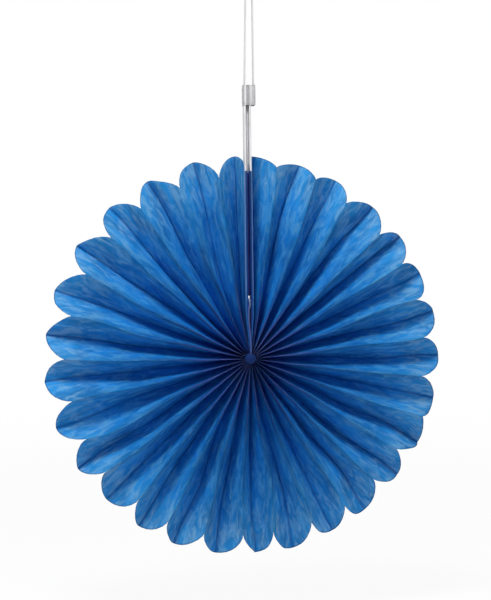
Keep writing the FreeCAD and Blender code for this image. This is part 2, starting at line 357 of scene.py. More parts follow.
def attribute(tree, name):
    """A point's named number, as the sheet's surface gives it."""
    return node(tree, "ShaderNodeAttribute", {"attribute_name": name}).outputs["Fac"]


def add_bump(tree, shader, height, strength, distance):
    """Roughens a shader's surface by a height."""
    bump = node(tree, "ShaderNodeBump", None, Strength=strength, Distance=distance, Height=height)
    plug(tree, shader, "Normal", bump.outputs[0])


def seen_directly(tree):
    """1 where the camera looks at a surface, also by reflection or through something clear."""
    path = node(tree, "ShaderNodeLightPath")
    seen = maths(tree, "MAXIMUM", path.outputs["Is Camera Ray"], path.outputs["Is Glossy Ray"])
    return maths(tree, "MAXIMUM", seen, path.outputs["Is Transmission Ray"])


def rgba(values, factor=1.0):
    """An opaque colour, made lighter or darker by a factor."""
    return [min(1.0, value * factor) for value in values[:3]] + [1.0]


def tissue_material(fan):
    """Blue tissue: mottled fibre, painted shade in the back folds, a dark cut edge, painted shade
    deepening towards the hub, a painted highlight on the front folds near the hub, pale lips and
    painted shade inside the slot. Each layer is (how much, colour, kind of mix)."""
    made, tree, shader = new_material("blue_tissue")
    ridge = attribute(tree, "ridge_distance")
    reach = attribute(tree, "reach")
    sheet = node(tree, "ShaderNodeUVMap", {"uv_map": "sheet"}).outputs[0]
    fibre = noise(tree, sheet, FIBRE)
    spot = maths(tree, "DIVIDE", reach, fan.tip_radius)
    # Painted shade towards the hub: one ramp near the front folds, one elsewhere.
    hub_shade = blend_colour(tree, remap(tree, ridge, 0.002, 0.010, 0.0, 1.0),
                          ramp(tree, spot, HUB_SHADE_AT_RIDGES), ramp(tree, spot, HUB_SHADE_IN_FOLDS))
    # Painted highlight along the front folds near the hub.
    rubbed = maths(tree, "MULTIPLY", remap(tree, ridge, 0.0010, 0.0060, 0.65, 0.0),
                   remap(tree, reach, 0.030, 0.085, 1.0, 0.0))
    lip = maths(tree, "MULTIPLY", attribute(tree, "lip"),
                remap(tree, reach, 0.045, 0.080, 0.10, 0.85))
    layers = (
        (remap(tree, noise(tree, sheet, PATCH), 0.38, 0.74, 0.0, 0.52), rgba(fan.faded), "MIX"),
        (remap(tree, fibre, 0.35, 0.7, 0.0, 0.30), rgba(PALE_FIBRE), "SOFT_LIGHT"),
        (remap(tree, noise(tree, sheet, SPECK), 0.58, 0.75, 0.0, 0.12), rgba(DARK_SPECK), "MIX"),
        # Painted shade along the back folds.
        (remap(tree, attribute(tree, "valley_distance"), 0.0003, 0.0030, 0.56, 0.0),
         rgba(fan.crease), "MIX"),
        (remap(tree, attribute(tree, "edge_distance"), 0.0004, 0.0015, 0.60, 0.0),
         rgba(fan.paper, 0.35), "MIX"),
        (1.0, hub_shade, "MULTIPLY"),
        # Painted highlight on the front folds near the hub.
        (rubbed, rgba(fan.fold_highlight), "MIX"),
        (lip, rgba(fan.lip), "MIX"),
        (maths(tree, "MULTIPLY", attribute(tree, "gap"), 0.8), rgba(fan.gap), "MIX"),
    )
    paper = blend_colour(tree, remap(tree, noise(tree, sheet, CLOUD), 0.28, 0.72, 0.0, 1.0),
                         rgba(fan.paper, 0.74), rgba(fan.paper, 1.24))
    for factor, tone, kind in layers:
        paper = blend_colour(tree, factor, paper, tone, kind)
    height = maths(tree, "ADD", noise(tree, sheet, CREPE), maths(tree, "MULTIPLY", fibre, 0.12))
    add_bump(tree, shader, height, 0.55, 0.0012)
    fill_in(tree, shader, Base_Color=paper, Roughness=remap(tree, fibre, 0.2, 0.8, 0.62, 0.80),
            Specular_IOR_Level=0.10, Subsurface_Weight=0.60, Subsurface_Radius=(0.25, 0.6, 1.0),
            Subsurface_Scale=0.0016)
    return made


def plastic_material(name, values, roughness, milky, streak, bands=None, axis=0):
    """Drawn plastic strip: faint lengthwise streaks and cloudy patches, light shining through.
    bands are (place, shade) pairs along an axis: painted light and shade, and what shows through
    the plastic."""
    made, tree, shader = new_material(name)
    place = node(tree, "ShaderNodeTexCoord").outputs["Object"]
    drawn = noise(tree, place, DRAWN)
    cloudy = noise(tree, place, CLOUDY)
    tone = blend_colour(tree, remap(tree, drawn, 0.3, 0.7, 0.0, streak), rgba(values),
                        rgba(values, 0.62))
    tone = blend_colour(tree, remap(tree, cloudy, 0.35, 0.7, 0.0, 0.35), tone,
                        rgba(values, 1.18))
    if bands:
        split = node(tree, "ShaderNodeSeparateXYZ", None, n0=place)
        low, high = bands[0][0], bands[-1][0]
        spot = maths(tree, "DIVIDE", maths(tree, "SUBTRACT", split.outputs[axis], low), high - low)
        stops = [((station - low) / (high - low), tint) for station, tint in bands]
        tone = blend_colour(tree, 1.0, tone, ramp(tree, spot, stops), "MULTIPLY")
    add_bump(tree, shader, drawn, 0.25, 0.0002)
    fill_in(tree, shader, Base_Color=tone, Subsurface_Weight=milky,
            Roughness=remap(tree, cloudy, 0.3, 0.7, roughness * 0.8, roughness * 1.2),
            Subsurface_Radius=(1.0, 1.0, 1.0), Subsurface_Scale=0.0030)
    return made


def thread_material(name, values):
    """Twisted thread: slanting plies round it, along its own length."""
    made, tree, shader = new_material(name)
    lengthwise = node(tree, "ShaderNodeUVMap", {"uv_map": "thread"}).outputs[0]
    plies = node(tree, "ShaderNodeTexWave", {"wave_type": "BANDS", "bands_direction": "DIAGONAL"},
                 Vector=scaled(tree, lengthwise, (6.0, 900.0, 1.0)), Scale=1.0, Distortion=0.6,
                 Detail=2.0)
    twist = plies.outputs["Fac"]
    tone = blend_colour(tree, remap(tree, twist, 0.2, 0.8, 0.0, 1.0), rgba(values, 0.60),
                        rgba(values, 1.1))
    add_bump(tree, shader, twist, 0.6, 0.0003)
    fill_in(tree, shader, Base_Color=tone, Roughness=0.7, Specular_IOR_Level=0.15)
    return made


def quads(rows, columns, wrap):
    """The corner numbers of a grid's faces, with the last column joined to the first if wrapped."""
    numbers = np.arange(rows * columns).reshape(rows, columns)
    if wrap:
        numbers = np.concatenate([numbers, numbers[:, :1]], axis=1)
    corners = [numbers[:-1, :-1], numbers[:-1, 1:], numbers[1:, 1:], numbers[1:, :-1]]
    return np.stack(corners, axis=-1).reshape(-1, 4)


def set_uv(mesh, name, uv):
    """Writes each point's place on the flat piece into a map."""
    corners = np.empty(len(mesh.loops), dtype=np.int32)
    mesh.loops.foreach_get("vertex_index", corners)
    layer = mesh.uv_layers.new(name=name)
    layer.data.foreach_set("uv", uv.reshape(-1, 2)[corners].astype(np.float32).ravel())


def grid_object(name, points, wrap=False, caps=False, uv=None, uv_name="sheet", values=None):
    """A surface of two parameters as an object: rows and columns of points joined by quads.
    uv and values give each point's place on the flat piece and its named numbers."""
    rows, columns = points.shape[:2]
    faces = quads(rows, columns, wrap).tolist()
    if caps:
        faces.append(list(range(columns)))
        faces.append([(rows - 1) * columns + number for number in range(columns)])
    mesh = bpy.data.meshes.new(name)
    mesh.from_pydata(points.reshape(-1, 3).tolist(), [], faces)
    if uv is not None:
        set_uv(mesh, uv_name, uv)
    for key, numbers in (values or {}).items():
        layer = mesh.attributes.new(key, "FLOAT", "POINT")
        layer.data.foreach_set("value", numbers.astype(np.float32).ravel())
    if wrap:
        turn_outwards(mesh)
    mesh.validate()
    made = bpy.data.objects.new(name, mesh)
    bpy.context.scene.collection.objects.link(made)
    return made


def turn_outwards(mesh):
    """Recalculates a closed shell's faces so that they point out."""
    shell = bmesh.new()
    shell.from_mesh(mesh)
    bmesh.ops.recalc_face_normals(shell, faces=shell.faces)
    shell.to_mesh(mesh)
    shell.free()


def finish_piece(made, node_name, material):
    """Gives a piece its finish and smooth shading, hangs it under the root, and hides the frame
    node it stands for.
    """
    made.data.materials.append(material)
    made.data.shade_smooth()
    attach(made, "root")
    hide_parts(node_name)


def fan_half(notch_fold, tip_fold):
    """1 on the half of a petal that is nearer the slot going clockwise, and -1 on the other."""
    return np.where(notch_fold < tip_fold, 1.0, -1.0)


class Sheet:
    """The folded sheet's shape. All sizes in metres, about the hub."""

    def __init__(self, fan, hanger):
        self.fan = fan
        self.hanger = hanger
        self.last = 2 * fan.pleats
        self.half_pitch = math.pi / fan.pleats
        self.stay_inner = fan.slot_half_gap + fan.wall + hanger.hem_fit
        self.stay_front = fan.wall + hanger.hem_fit
        self.collar_foot = hanger.hub_drop + hanger.collar_top - hanger.collar_height
        self.hub_outer = fan.hub_gap + 2.0 * fan.hub_wall + fan.hub_hem_gap
        self.lip_outer = (fan.slot_half_gap + 2.0 * fan.wall + 2.0 * hanger.hem_fit
                          + hanger.stay_thick)
        self.hem_depth = fan.wall + hanger.hem_fit + hanger.stay_width + hanger.hem_spare
        random = np.random.default_rng(fan.seed)
        self.waves = random.normal(0.0, 1.0, (self.last + 1, 4))
        self.phases = random.uniform(0.0, 2.0 * math.pi, (self.last + 1, 4))
        self.depth_waves = random.normal(0.0, 1.0, (self.last + 1, 3))
        self.rim = random.normal(0.0, fan.rim_play, self.last + 1)
        low = 0.5 - 0.5 * np.cos(np.arange(self.last + 1) * self.half_pitch)
        self.rim[1::2] -= (NOTCH_DROP + LOW_NOTCH_DROP * low)[1::2]
        for fold, rise in NOTCH_RISES.items():
            self.rim[fold] = rise
        self.rim[[0, self.last]] = 0.0
        self.bows = random.normal(0.0, 1.0, (self.last + 9, 4))
        self.bow_phases = random.uniform(0.0, 2.0 * math.pi, (self.last + 9, 4))
        self.crumples = random.uniform(0.0, 1.0, (CRUMPLES, 5))

    def middle(self, radius):
        """The middle of the pleats: a shallow cone with its hub to the front."""
        return self.fan.dome * (radius / self.fan.tip_radius - 1.0)

    def step(self, radius):
        """The straight distance from one fold to the next."""
        return 2.0 * radius * np.sin(self.half_pitch / 2.0)

    def depth(self, radius):
        """Front fold to back fold: the panel keeps its width."""
        return np.sqrt(self.fan.pleat_width ** 2 - self.step(radius) ** 2)

    def pinch(self, radius):
        """0 at the hub hole and 1 from the slot's foot outwards."""
        fan = self.fan
        return np.clip((radius - fan.hub_hole) / (fan.slot_foot - fan.hub_hole), 0.0, 1.0)

    def lip_slope(self):
        """The lean of the hems, set by the panel's width at the rim."""
        fan = self.fan
        foot = self.middle(fan.slot_foot) - self.depth(fan.slot_foot) / 2.0
        back = self.middle(fan.notch_radius) + self.depth(fan.notch_radius) / 2.0
        return (back - fan.pleat_width - foot) / (fan.notch_radius - fan.slot_foot)

    def lip(self, radius):
        """The hems' front edge: straight from the slot's foot outwards."""
        fan = self.fan
        foot = self.middle(fan.slot_foot) - self.depth(fan.slot_foot) / 2.0
        hub = self.middle(fan.hub_hole) - self.depth(fan.hub_hole) / 2.0
        outer = foot + self.lip_slope() * (radius - fan.slot_foot)
        inner = hub + (foot - hub) * self.pinch(radius)
        return np.where(radius < fan.slot_foot, inner, outer)

    def place(self):
        """The hub's place: the strips' lean brings their middle under the hook."""
        hanger = self.hanger
        half = self.stay_front + hanger.stay_width / 2.0
        middle = float(self.lip(hanger.hub_drop + hanger.collar_top))
        middle += half / math.cos(math.atan(self.lip_slope()))
        return np.array([hanger.hub_x, hanger.stem_y - middle, -hanger.hub_drop])

    def swing(self, angle):
        """One wave and half as long a second one round the hub."""
        fan = self.fan
        return (fan.first_swing * np.cos(angle - fan.first_side)
                + fan.second_swing * np.cos(2.0 * (angle - fan.second_side)))

    def free(self, fold):
        """0 at the sheet's ends and 1 a few folds away from them."""
        return np.clip(np.minimum(fold, self.last - fold) / 2.0, 0.0, 1.0)

    def wander(self, fold, radius):
        """A crease's sideways drift: a few seeded sine waves from hub to rim."""
        share_out = (radius - self.fan.hub_hole) / (self.fan.tip_radius - self.fan.hub_hole)
        total = np.zeros_like(radius)
        for wave, size in enumerate(WANDER_WAVES):
            bend = np.sin(math.pi * (wave + 1.0) * share_out + self.phases[fold, wave])
            total += size * self.waves[fold, wave] * bend
        grow = np.clip(share_out * 3.0, 0.0, 1.0) ** 2
        return self.fan.wander * self.half_pitch * total * grow * self.free(fold)

    def fold_point(self, fold, radius):
        """A crease's point: angle round the hub, and in front of or behind the middle."""
        fan = self.fan
        outer_share = np.clip((radius - fan.slot_foot) / (fan.tip_radius - fan.slot_foot), 0.0, 1.2)
        outer = self.lip_outer + (fan.half_tip_offset - self.lip_outer) * outer_share
        inner = self.hub_outer + (self.lip_outer - self.hub_outer) * self.pinch(radius)
        offset = np.where(radius < fan.slot_foot, inner, outer)
        start = np.arcsin(offset / radius)
        even = fold * self.half_pitch
        angle = start + even * (1.0 - start / math.pi) + self.swing(even) - self.swing(0.0)
        angle += self.wander(fold, radius)
        side = np.where(fold % 2 == 1, -1.0, 1.0)
        y = self.middle(radius) + side * self.depth(radius) / 2.0
        sway = sum(self.depth_waves[fold, wave] * np.sin(
            radius / fan.tip_radius * math.pi * (wave + 1.0) + self.phases[fold, wave])
            for wave in range(3))
        y += CREASE_SWAY * sway * self.free(fold) * np.clip(radius / fan.tip_radius, 0.0, 1.0)
        y += np.where(fold % 2 == 1, fan.ridge_back, 0.0) * self.free(fold) * \
            np.clip(radius / fan.slot_foot - 0.3, 0.0, 1.0)
        return np.stack([radius * np.sin(angle), y, radius * np.cos(angle)], axis=-1)

    def hem_point(self, corner, radius):
        """The hem's corners: 0 its free end, 1 and 2 the lip, 3 behind the strip."""
        fan = self.fan
        pinch = self.pinch(radius)
        thick = fan.hub_wall + (fan.wall - fan.hub_wall) * pinch
        inner = fan.hub_gap + (fan.slot_half_gap - fan.hub_gap) * pinch
        outer = self.hub_outer + (self.lip_outer - self.hub_outer) * pinch
        x = np.where(corner < 2, inner + thick / 2.0, outer - thick / 2.0)
        deep = (corner == 0) | (corner == 3)
        y = self.lip(radius) + np.where(deep, self.hem_depth, thick / 2.0)
        return np.stack([x, y, radius], axis=-1)

    def corner_point(self, index, radius):
        """A point of the whole sheet: four hem corners, the folds, four hem corners."""
        first = self.hem_point(np.clip(index, 0, 3), radius)
        last = self.hem_point(np.clip(self.last + 8 - index, 0, 3), radius) * [-1.0, 1.0, 1.0]
        fold = self.fold_point(np.clip(index - 4, 0, self.last), radius)
        fold = np.where((index < 4)[..., None], first, fold)
        return np.where((index > self.last + 4)[..., None], last, fold)

    def share_at(self, index):
        """How far along its scallop each corner lies: 0 at a tip, 1 at a notch."""
        corner = np.minimum(index, self.last + 8 - index)
        hem = np.where((corner == 1) | (corner == 2), 1.0,
                       1.0 - self.hem_depth / self.fan.pleat_width)
        return np.where(corner >= 4, (corner % 2).astype(float), hem)

    def cut(self, share_out, tip_play, notch_play, flat):
        """The scalloped rim's radius, rounded at the tip and hollow at the notch. flat runs from
        1, a nearly straight edge, to -1, a full round one."""
        fan = self.fan
        notch = fan.notch_radius + notch_play
        tip = fan.tip_radius - TIP_TRIM + tip_play
        power = (FALL_POWER - FLATTER * np.clip(flat, 0.0, 1.0)
                 - ROUNDER * np.clip(flat, -1.0, 0.0))
        fall = np.clip(1.0 - share_out ** power, 0.0, 1.0)
        return notch + (tip - notch) * fall ** fan.scallop_power

    def crumple(self, across, radius):
        """Soft crumples: a seeded sum of slanted sine waves over the flat sheet."""
        total = np.zeros_like(radius)
        for one in self.crumples:
            wave_length = SHORT_CRUMPLE + CRUMPLE_LENGTHS * one[0]
            slant = (one[1] - 0.5) * CRUMPLE_SLANTS
            turn = 2.0 * math.pi / wave_length
            phase = one[3] * CRUMPLE_PHASES
            total += (0.3 + one[2]) * wave_length / FULL_CRUMPLE * np.sin(
                turn * (across * math.cos(slant) + radius * math.sin(slant)) + phase)
        return total / 4.0

    def bow(self, index, radius):
        """How far a panel bows at a radius: slow seeded waves from hub to rim."""
        share_out = radius / self.fan.tip_radius
        return sum((1.0 - 0.2 * wave) * self.bows[index, wave] * np.sin(
            BOW_TURN * (wave + BOW_START) * share_out + self.bow_phases[index, wave])
            for wave in range(4))

    def stations(self):
        """The columns: each panel's number and the places across it, two on a hem's panels."""
        columns = []
        for index in range(self.last + 8):
            hem = index < 3 or index > self.last + 4
            places = (0.0, 0.5) if hem else PLACES
            columns += [(index, place) for place in places]
        columns.append((self.last + 7, 1.0))
        return columns

    def surface(self, rows):
        """The sheet: for each column a panel and a place across it, for each row a share of the
        way from the hub hole to the scalloped cut; straight across from crease to crease, then
        bowed and crumpled along the panel's normal."""
        columns = self.stations()
        index = np.array([column[0] for column in columns])
        place = np.array([column[1] for column in columns])
        shares = (1.0 - place) * self.share_at(index) + place * self.share_at(index + 1)
        first_fold = np.clip(index - 4, 0, self.last)
        second_fold = np.clip(index - 3, 0, self.last)
        tip_fold = np.where(first_fold % 2 == 0, first_fold, second_fold)
        notch_fold = np.where(first_fold % 2 == 0, second_fold, first_fold)
        side = np.sin(tip_fold * self.half_pitch) * fan_half(notch_fold, tip_fold)
        rim = self.cut(shares, self.rim[tip_fold], self.rim[notch_fold], self.fan.slant * side)
        out = np.linspace(0.0, 1.0, rows)[:, None]
        radius = self.fan.hub_hole + (rim[None, :] - self.fan.hub_hole) * out
        grid_index = np.broadcast_to(index, radius.shape)
        grid_place = np.broadcast_to(place, radius.shape)[..., None]
        start = self.corner_point(grid_index, radius)
        end = self.corner_point(grid_index + 1, radius)
        points = start + (end - start) * grid_place
        points += self.relief(grid_index, grid_place[..., 0], radius, start, end)
        across = (index + place) * self.fan.pleat_width
        uv = np.stack(np.broadcast_arrays(across[None, :], radius), axis=-1)
        return points + self.place(), uv, self.marks(grid_index, grid_place[..., 0], radius, rim)

    def relief(self, index, place, radius, start, end):
        """Bow and crumples, along each panel's own normal."""
        fan = self.fan
        outward = np.stack([start[..., 0] + end[..., 0], np.zeros_like(radius),
                            start[..., 2] + end[..., 2]], axis=-1)
        normal = np.cross(end - start, outward)
        normal /= np.maximum(np.linalg.norm(normal, axis=-1, keepdims=True), 1e-9)
        folds = np.clip(index - 3.5, 0.0, self.last + 0.0)
        panel = (index > 3) & (index < self.last + 4)
        room = np.clip(self.step(radius) / self.step(fan.tip_radius), 0.0, 1.0)
        room *= np.where(panel, self.free(folds), 0.0)
        height = fan.bulge * self.bow(index, radius) * np.sin(math.pi * place)
        across = (index + place) * fan.pleat_width
        height += fan.crumple * self.crumple(across, radius) * 2.0 * np.sin(math.pi * place) ** 0.5
        return normal * (height * room)[..., None]

    def marks(self, index, place, radius, rim):
        """Distances from creases, hub and cut edge, and the slot's lips and inside, for the
        finish."""
        width = self.fan.pleat_width
        first_back = index % 2 == 0
        valley = np.where(first_back, place, 1.0 - place) * width
        ridge = width - valley
        across = np.minimum(index + place, self.last + 8.0 - index - place)
        gap = np.clip(4.0 - 2.0 * across, 0.0, 1.0)
        lip = np.clip(1.0 - 2.0 * np.abs(across - 2.0), 0.0, 1.0)
        return {"lip": lip, "gap": gap,
                "valley_distance": valley, "ridge_distance": ridge, "reach": radius,
                "edge_distance": rim[None, :] - radius}


def rounded_profile(low_x, high_x, low_y, high_y, corner, count=5):
    """A rectangle's outline with each corner a quarter circle."""
    turns = np.linspace(0.0, math.pi / 2.0, count)
    centres = [(high_x - corner, high_y - corner, 0.0), (low_x + corner, high_y - corner, 1.0),
               (low_x + corner, low_y + corner, 2.0), (high_x - corner, low_y + corner, 3.0)]
    arcs = [np.stack([x + corner * np.cos(turns + quarter * math.pi / 2.0),
                      y + corner * np.sin(turns + quarter * math.pi / 2.0)], axis=-1)
            for x, y, quarter in centres]
    return np.concatenate(arcs)


def leaning(sheet, profiles, foot, stations):
    """Outlines carried along the hems' lean: x across, n behind the lip line, s along it."""
    lean = math.atan(sheet.lip_slope())
    points = []
    for outline, station in zip(profiles, stations):
        n = outline[:, 1]
        y = float(sheet.lip(np.array(foot))) + n * math.cos(lean) + station * math.sin(lean)
        z = foot - n * math.sin(lean) + station * math.cos(lean)
        points.append(np.stack([outline[:, 0], y, z], axis=-1))
    return np.array(points) + sheet.place()


def softened_ends(length_along, soft, count=4):
    """Stations along a strip with its ends eased in over a quarter circle, as (place, inset)."""
    turns = np.linspace(0.0, math.pi / 2.0, count)
    first = [(soft * (1.0 - math.cos(turn)), soft * (1.0 - math.sin(turn))) for turn in turns]
    middle = [(length_along * step / 12.0, 0.0) for step in range(1, 12)]
    last = [(length_along - place, inset) for place, inset in reversed(first)]
    return first + middle + last


def strip_surface(sheet, sides, foot, length_along, corner, soft):
    """A straight strip along the lean, its long edges and ends rounded."""
    low_x, high_x, low_n, high_n = sides
    stations = softened_ends(length_along, soft)
    profiles = [rounded_profile(low_x + inset, high_x - inset, low_n + inset, high_n - inset,
                                corner) for _, inset in stations]
    return leaning(sheet, profiles, foot, [place for place, _ in stations])


def along(sheet, radius, foot):
    """The distance along the lean from one radius to another."""
    return (radius - foot) / math.cos(math.atan(sheet.lip_slope()))


def sheet_of(context):
    """The sheet's shape at the scene's settings."""
    return Sheet(context.scene.fan_settings, context.scene.hanger_settings)


class FAN_OT_paper(bpy.types.Operator):
    """Make the pleated paper with its scalloped rim"""
    bl_idname = "paper_fan.paper"
    bl_label = "Pleated paper"

    def execute(self, context):
        fan = context.scene.fan_settings
        sheet = sheet_of(context)
        points, uv, marks = sheet.surface(ROWS)
        made = grid_object("pleated_paper", points, uv=uv, values=marks)
        thick = made.modifiers.new("paper_wall", "SOLIDIFY")
        thick.thickness = fan.wall
        thick.offset = 0.0
        finish_piece(made, "paper_fan", tissue_material(fan))
        made.data.set_sharp_from_angle(angle=SHARP_FOLD)
        return {"FINISHED"}


class FAN_OT_strips(bpy.types.Operator):
    """Make the two stiff strips and the adhesive strip between them"""
    bl_idname = "paper_fan.strips"
    bl_label = "Strips"

    def execute(self, context):
        fan = context.scene.fan_settings
        hanger = context.scene.hanger_settings
        sheet = sheet_of(context)
        outer = sheet.stay_inner + hanger.stay_thick
        front = sheet.stay_front
        back = front + hanger.stay_width
        milky = plastic_material("milky_strip", hanger.strip_colour, 0.42, 0.5, 0.5)
        for side, name in ((-1.0, "left"), (1.0, "right")):
            low, high = sorted((side * sheet.stay_inner, side * outer))
            points = strip_surface(sheet, (low, high, front, back), hanger.stay_foot,
                                   along(sheet, sheet.collar_foot + hanger.tongue_reach,
                                         hanger.stay_foot), *STRIP_EDGES)
            made = grid_object("strip_" + name, points, wrap=True, caps=True)
            finish_piece(made, "stay_" + name, milky)
        points = strip_surface(sheet, (-fan.slot_half_gap, fan.slot_half_gap,
                                       back - hanger.join_depth, back), hanger.join_foot,
                               along(sheet, sheet.collar_foot, hanger.join_foot), *TAPE_EDGES)
        made = grid_object("adhesive_strip", points, wrap=True, caps=True)
        rim = fan.notch_radius - hanger.hub_drop
        # Painted shade and painted blue reflection: the adhesive strip is coloured dark navy down
        # in the slot, grading to its own pale grey above the rim.
        slot_shade = ((rim - 0.020, linear(4, 26, 150)), (rim - 0.003, linear(16, 44, 160)),
                   (rim + 0.002, (0.9, 0.9, 0.9)), (rim + 0.020, (1.0, 1.0, 1.0)))
        grey = plastic_material("grey_tape", hanger.tape_colour, 0.5, 0.4, 0.6, slot_shade, 2)
        finish_piece(made, "join_strip", grey)
        return {"FINISHED"}


def leg_place(hanger, z):
    """The loop's leg at a height, tapering in towards the crown."""
    mouth_x = hanger.mouth - hanger.band_thick / 2.0
    crown_x = hanger.crown + hanger.band_thick / 2.0
    return crown_x + (mouth_x - crown_x) * (z + hanger.crown) / (hanger.collar_top + hanger.crown)


class FAN_OT_collar(bpy.types.Operator):
    """Make the sleeve round the strips' ends and the loop's legs"""
    bl_idname = "paper_fan.collar"
    bl_label = "Collar"

    def execute(self, context):
        hanger = context.scene.hanger_settings
        sheet = sheet_of(context)
        low_x = -(sheet.stay_inner + hanger.stay_thick) - COLLAR_FIT
        high_x = (leg_place(hanger, hanger.collar_top - hanger.leg_reach)
                  + hanger.band_thick / 2.0 + COLLAR_FIT - hanger.hub_x)
        low_n = sheet.stay_front - COLLAR_FIT
        high_n = low_n + hanger.stay_width + 2.0 * COLLAR_FIT
        foot = sheet.collar_foot
        reach = along(sheet, foot + hanger.collar_height, foot)
        wall = hanger.collar_wall
        half = wall / 2.0
        turns = np.linspace(0.0, math.pi, 7)
        first = [(half - half * math.sin(turn), half + half * math.cos(turn)) for turn in turns]
        outside = [(reach * step / 8.0, 0.0) for step in range(1, 8)]
        last = [(reach - place, inset) for place, inset in reversed(first)]
        ring = first[::-1] + outside + last[::-1]
        inside = [(reach * step / 8.0, wall) for step in range(7, 0, -1)]
        stations = ring + inside + [first[-1]]
        profiles = [rounded_profile(low_x - wall + inset, high_x + wall - inset,
                                    low_n - wall + inset, high_n + wall - inset,
                                    COLLAR_CORNER - 0.6 * inset, 6) for _, inset in stations]
        points = leaning(sheet, profiles, foot, [place for place, _ in stations])
        made = grid_object("collar_sleeve", points, wrap=True)
        merge = made.modifiers.new("join", "WELD")
        merge.merge_threshold = 0.000001
        # Painted highlight and shade on the sleeve, with what shows through it.
        sleeve_light = [(place, linear(shade, shade, shade)) for place, shade in SLEEVE_LIGHT_AND_SHADE]
        sleeve = plastic_material("clear_sleeve", hanger.sleeve_colour, 0.28, 0.35, 0.7, sleeve_light)
        finish_piece(made, "collar", sleeve)
        return {"FINISHED"}


class FAN_OT_loop(bpy.types.Operator):
    """Make the long narrow hanging loop"""
    bl_idname = "paper_fan.loop"
    bl_label = "Hanging loop"

    def execute(self, context):
        hanger = context.scene.hanger_settings
        foot_z = hanger.collar_top - hanger.leg_reach
        crown_x = hanger.crown + hanger.band_thick / 2.0
        heights = np.linspace(foot_z, -hanger.crown, 30)[:-1]
        legs = np.stack([leg_place(hanger, heights), heights], axis=-1)
        turns = np.linspace(0.0, math.pi, 25)
        crown = np.stack([crown_x * np.cos(turns), crown_x * np.sin(turns) - hanger.crown],
                         axis=-1)
        line = np.concatenate([legs, crown, legs[::-1] * [-1.0, 1.0]])
        direction = np.gradient(line, axis=0)
        direction /= np.linalg.norm(direction, axis=-1, keepdims=True)
        side = np.stack([direction[:, 1], -direction[:, 0]], axis=-1)
        outline = rounded_profile(-hanger.band_thick / 2.0, hanger.band_thick / 2.0,
                                  -hanger.band_width / 2.0, hanger.band_width / 2.0, BAND_CORNER)
        x = line[:, None, 0] + side[:, None, 0] * outline[None, :, 0]
        z = line[:, None, 1] + side[:, None, 1] * outline[None, :, 0]
        y = np.broadcast_to(outline[None, :, 1], x.shape)
        made = grid_object("hanging_band", np.stack([x, y, z], axis=-1), wrap=True, caps=True)
        band = plastic_material("pale_band", hanger.loop_colour, 0.35, 0.4, 0.5)
        finish_piece(made, "hanging_loop", band)
        return {"FINISHED"}


def smooth_line(corners, count):
    """A clamped quadratic spline: each run of three points pulls the line as a parabola."""
    corners = np.array(corners)
    middles = (corners[1:-2] + corners[2:-1]) / 2.0
    starts = np.concatenate([corners[:1], middles])
    ends = np.concatenate([middles, corners[-1:]])
    t = np.linspace(0.0, 1.0, count)[None, :, None]
    runs = ((1.0 - t) ** 2 * starts[:, None] + 2.0 * t * (1.0 - t) * corners[1:-1][:, None]
            + t ** 2 * ends[:, None])
    return np.concatenate([runs[0]] + [run[1:] for run in runs[1:]])


class FAN_OT_thread(bpy.types.Operator):
    """Make the thread from its knot in the slot to its knot in the hub hole"""
    bl_idname = "paper_fan.thread"
    bl_label = "Tie thread"

    def execute(self, context):
        fan = context.scene.fan_settings
        hanger = context.scene.hanger_settings
        sheet = sheet_of(context)
        stand_off = hanger.thread_radius + hanger.thread_off
        hub_front = float(sheet.middle(fan.hub_hole) - sheet.depth(fan.hub_hole) / 2.0)
        hub_front -= stand_off + HUB_CLEARANCE
        foot_front = float(sheet.lip(np.array(fan.slot_foot))) - stand_off
        start_y = float(sheet.lip(np.array(hanger.thread_start))) + hanger.thread_depth
        slot_knot = fan.slot_half_gap - SLOT_KNOT_FIT
        hub_knot = fan.hub_hole - HUB_KNOT_FIT
        bends = [(x, foot_front * (1.0 - gone) + hub_front * gone - bow, height)
                 for x, gone, bow, height in STRAND_BENDS]
        route = [(0.0, start_y, hanger.thread_start),
                 (-0.0020, foot_front - 0.0004, fan.slot_foot + 0.001), *bends,
                 (0.0, hub_front, fan.hub_hole + 0.001), (0.0, hub_front + hub_knot, 0.0)]
        line = smooth_line(route, 16)
        finish = thread_material("lavender_thread", hanger.thread_colour)
        # The hub knot's dark navy is painted shade.
        blue = thread_material("shaded_hub_knot", hanger.hub_knot_shade)
        # The slot knot's pale colour is a painted highlight.
        pale = thread_material("glint_knot", hanger.slot_glint_colour)
        hub_back = float(sheet.middle(fan.hub_hole) + sheet.depth(fan.hub_hole) / 2.0)
        to_back = hub_back + CORE_PROUD - line[-1][1]
        knots = [(line[0] - SLOT_KNOT_DROP, slot_knot, pale, SLOT_KNOT_STRETCH, 1.0),
                 (line[-1], hub_knot, blue, (1.0, 1.0, 1.0), to_back / hub_knot)]
        points, uv = tube_surface(line, hanger.thread_radius)
        made = grid_object("tie_thread_strand", points + sheet.place(), wrap=True, caps=True,
                           uv=uv, uv_name="thread")
        finish_piece(made, "tie_thread", finish)
        for number, (centre, radius, wound, stretch, core) in enumerate(knots):
            points, uv = knot_surface(centre, radius, stretch, core)
            knot = grid_object("thread_knot_%d" % (number + 1), points + sheet.place(), wrap=True,
                               caps=True, uv=uv, uv_name="thread")
            finish_piece(knot, "tie_thread", wound)
        return {"FINISHED"}


